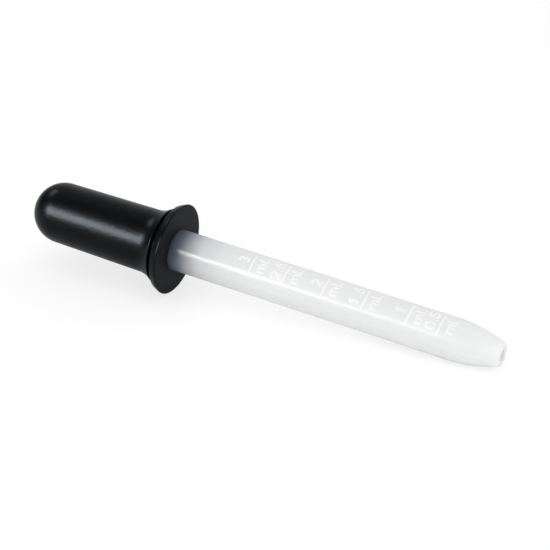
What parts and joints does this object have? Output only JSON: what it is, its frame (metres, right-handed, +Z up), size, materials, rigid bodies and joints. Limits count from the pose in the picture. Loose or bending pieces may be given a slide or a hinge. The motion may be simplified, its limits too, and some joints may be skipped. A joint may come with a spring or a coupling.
{
  "type": "dropper pipette",
  "caption": "Dropper pipette with a translucent plastic tube, a moulded millilitre scale and a tapered open tip, and a black rubber squeeze bulb with a flange.",
  "frame": {"origin": "centre of the bounding box's bottom face, on the surface that the pipette lies on", "axes": "+Z up; +X from the bulb towards the tip, so the pipette's own axis lies in the XZ plane and falls 4.7 degrees towards +X; -Y is the side that the scale leans to"},
  "size_m": [0.1222, 0.0222, 0.0221],
  "materials": {
    "bulb_rubber": "smooth satin black",
    "tube_plastic": "milky translucent, softly glossy"
  },
  "bodies": {
    "root": {"rubber_bulb": "bulb_rubber", "pipette_tube": "tube_plastic"}
  },
  "joints": []
}
